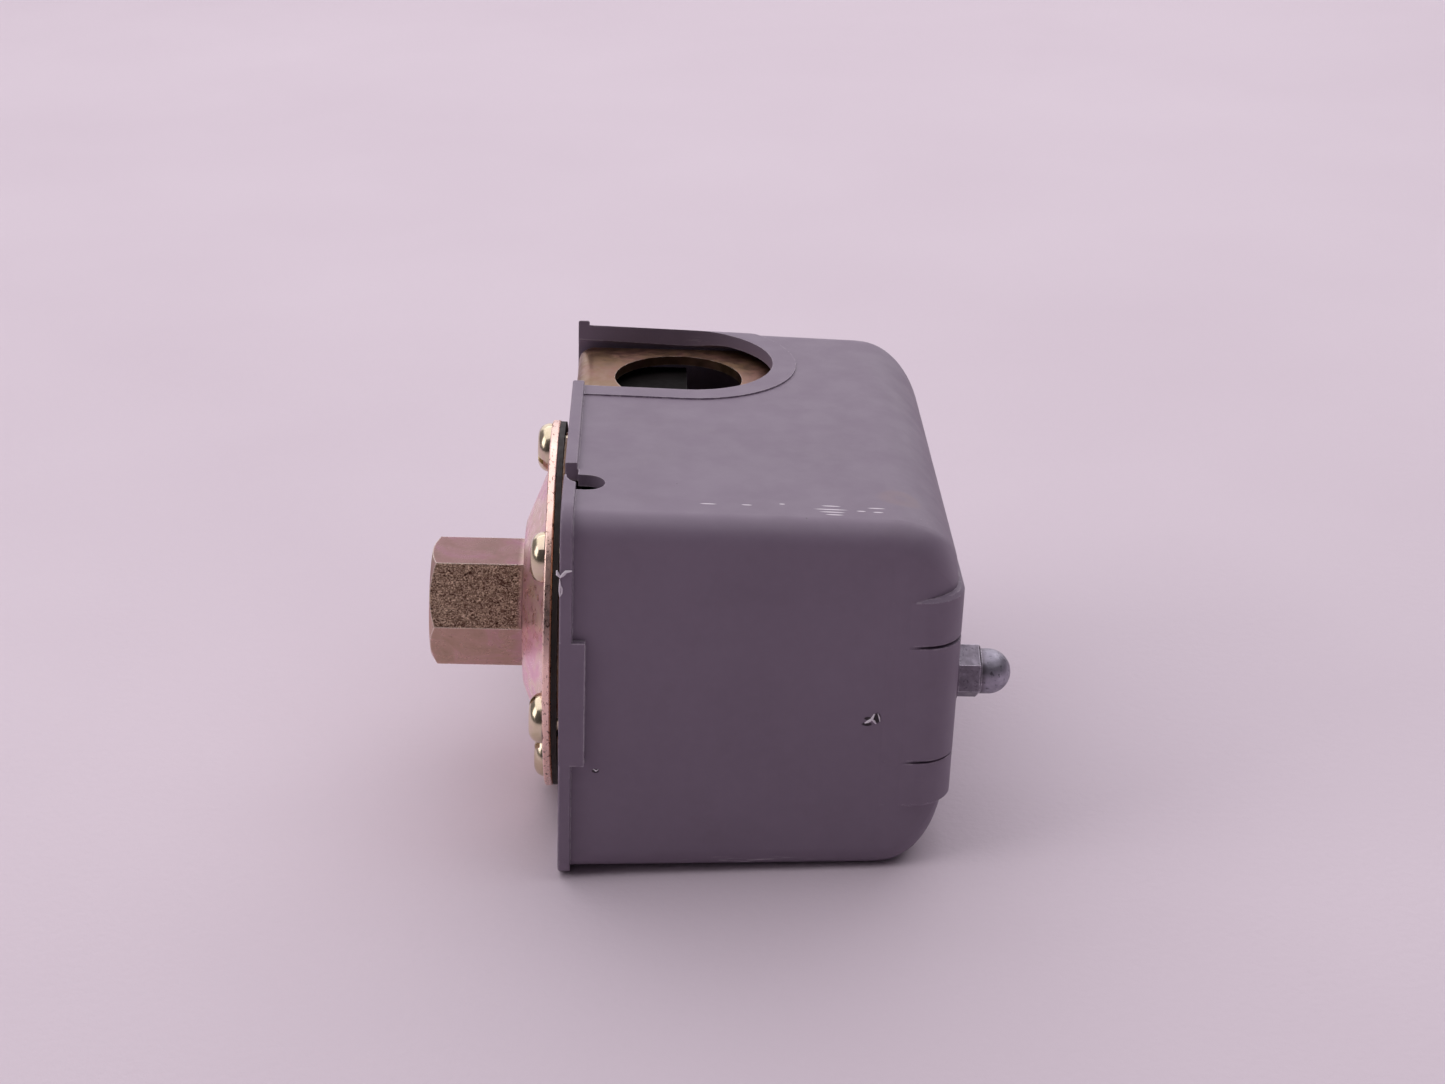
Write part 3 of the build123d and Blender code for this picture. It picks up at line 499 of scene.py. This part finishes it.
def tube(bm, points, radius):
    """Thin curl through points, tapered at both ends."""
    last = len(points) - 1
    rings = []
    for index, point in enumerate(points):
        ahead = Vector(points[min(index + 1, last)]) - Vector(points[max(index - 1, 0)])
        side = ahead.normalized().cross(Vector((0, 1, 0))).normalized()
        out = ahead.normalized().cross(side)
        thick = radius * (0.45 if index in (0, last) else 1.0)
        rings.append(circle(Vector(point), thick, side, out, 6))
    skin(bm, rings)


def coil_run(bm, foot, height, y, radius, wire, turns, first, last):
    """Part of a spring along +X whose end turns are closed; first and last are shares of its travel."""
    closed = wire * CLOSED_TURN
    pitch = (height - 2 * closed) / (turns - 2)
    rings = []
    steps = int((last - first) * turns * 30)
    for step in range(steps + 1):
        turn = (first + (last - first) * step / steps) * turns
        lift = closed * min(turn, 1.0) + pitch * min(max(turn - 1.0, 0.0), turns - 2)
        lift += closed * max(turn - turns + 1.0, 0.0)
        angle = math.tau * turn
        out = Vector((0, math.cos(angle), math.sin(angle)))
        middle = Vector((foot + lift, y, 0)) + radius * out
        rings.append(circle(middle, wire / 2, out, Vector((1, 0, 0)), 10))
    skin(bm, rings)


def node_span(node):
    """Where a node starts and ends along X and the middle of its Y, in millimetres."""
    low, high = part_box(node)
    return low[0] / MM, high[0] / MM, (low[1] + high[1]) / 2 / MM


def port_threads(bm):
    ridge(bm, *PORT_THREAD, steps=40)


def threaded(bm, start, end, shaft_start, radius, thread, y, tip=0.0):
    """Bar with a thread on it that starts and ends short of start and end."""
    after, before, *form = thread
    shaft(bm, shaft_start, end, radius, y, tip)
    ridge(bm, start + after, end - before, *form, y)


def range_rod(bm):
    foot, top, y = node_span("range_stud")
    threaded(bm, foot, STUD_STEP_X, foot, RANGE_SHAFT_R, RANGE_THREAD, y)
    threaded(bm, STUD_STEP_X, top, STUD_STEP_X - 0.3, TIP_SHAFT_R, TIP_THREAD, y, TIP_CHAMFER)


def differential_rod(bm):
    foot, top, y = node_span("differential_stud")
    threaded(bm, foot, top, foot, DIFFERENTIAL_SHAFT_R, DIFFERENTIAL_THREAD, y, TIP_CHAMFER)


def flash(bm):
    for y, radius, points in CURLS:
        tube(bm, [(x, y, z) for x, z in points], radius)


def spring(node, adjuster, y, radius, wire, turns, share):
    """Two lengths of one spring: the lower at the lever, the upper at its adjusting nut."""
    bottom, top, _ = node_span(node)
    foot = bottom + wire / 2 + SPRING_GAP
    height = top - bottom - wire - 2 * SPRING_GAP
    meet = (1 + (turns - 2) * share) / turns
    closed = wire * CLOSED_TURN
    split = Vector((foot + closed + (height - 2 * closed) * share, y, 0)) * MM
    lever_end = Vector((foot + wire * CLOSED_END, y, 0)) * MM
    nut_end = Vector((foot + height - wire * CLOSED_END, y, 0)) * MM
    runs = (("_lower", 0, meet - SEAM, "lever", "base", lever_end, split),
            ("_upper", meet + SEAM, 1, "base", adjuster, split, nut_end))
    for suffix, first, last, near, far, start, end in runs:
        length = piece(node + suffix, lambda bm: coil_run(bm, foot, height, y, radius, wire, turns, first, last),
                       palette["spring_steel"])
        if near == "lever":
            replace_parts(length, node)
        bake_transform(length)


piece("port_thread", port_threads, port_finish, "base")
for node, build in (("range_stud", range_rod), ("differential_stud", differential_rod)):
    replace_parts(piece(node + "_thread", build, palette["steel"], "base"), node)
piece("cover_flash", flash, torn, "cover_shell")
for row in SPRINGS:
    spring(*row)


# ---------------------------------------------------------------- floor, light, camera
def floor():
    """Wide plane under the cover, tilted as the object lies on its lip."""
    mesh = bpy.data.meshes.new("floor")
    level = cad_low.z - FLOOR_CONTACT_X * MM * FLOOR_SLOPE
    square = ((-1, -1), (1, -1), (1, 1), (-1, 1))
    corners = [(x * FLOOR_HALF, y * FLOOR_HALF, level + FLOOR_SLOPE * x * FLOOR_HALF) for x, y in square]
    mesh.from_pydata(corners, [], [(0, 1, 2, 3)])
    plane = bpy.data.objects.new("floor", mesh)
    scene.collection.objects.link(plane)
    g = Graph("floor_paper")
    normal = g.bump(g.noise(1.6, 3), 0.25, 0.35)
    plane.data.materials.append(g.finish(g.ramp(g.noise(160, 3), PAPER), 0.75, 0.0, normal))


def softbox(name, place, target, width, height, power, colour):
    data = bpy.data.lights.new(name, "AREA")
    data.shape = "RECTANGLE"
    data.size = width
    data.size_y = height
    data.energy = power
    data.color = colour
    lamp = bpy.data.objects.new(name, data)
    lamp.location = place
    lamp.rotation_euler = (Vector(target) - Vector(place)).to_track_quat("-Z", "Y").to_euler()
    scene.collection.objects.link(lamp)


def sky():
    """Pale surroundings that brighten from -Y to +Y."""
    world = bpy.data.worlds.new("studio")
    scene.world = world
    world.use_nodes = True
    tree = world.node_tree
    place = tree.nodes.new("ShaderNodeTexCoord")
    parts = tree.nodes.new("ShaderNodeSeparateXYZ")
    level = tree.nodes.new("ShaderNodeMapRange")
    level.inputs["From Min"].default_value = -1.0
    level.inputs["To Min"].default_value, level.inputs["To Max"].default_value = SKY_STRENGTH
    background = tree.nodes["Background"]
    background.inputs["Color"].default_value = SKY_COLOUR
    tree.links.new(place.outputs["Generated"], parts.inputs[0])
    tree.links.new(parts.outputs["Y"], level.inputs["Value"])
    tree.links.new(level.outputs["Result"], background.inputs["Strength"])


def camera():
    pitch, yaw, roll = (math.radians(angle) for angle in CAMERA_TURN)
    right = Vector((math.cos(roll), math.sin(roll) * math.sin(pitch), math.sin(roll) * math.cos(pitch)))
    up = Vector((-math.sin(roll), math.cos(roll) * math.sin(pitch), math.cos(roll) * math.cos(pitch)))
    ahead = Vector((0, math.cos(pitch), -math.sin(pitch)))
    turn = Matrix.Rotation(-yaw, 3, "Z")
    axes = Matrix((turn @ right, turn @ up, turn @ -ahead)).transposed()
    data = bpy.data.cameras.new("camera")
    data.lens = CAMERA_LENS
    data.sensor_width = CAMERA_SENSOR
    data.clip_start, data.clip_end = CAMERA_CLIP
    viewer = bpy.data.objects.new("camera", data)
    viewer.matrix_world = Matrix.Translation(CAMERA_PLACE) @ axes.to_4x4()
    scene.collection.objects.link(viewer)
    scene.camera = viewer


floor()
sky()
for light in LIGHTS:
    softbox(*light)
camera()
scene.view_settings.view_transform = "Standard"
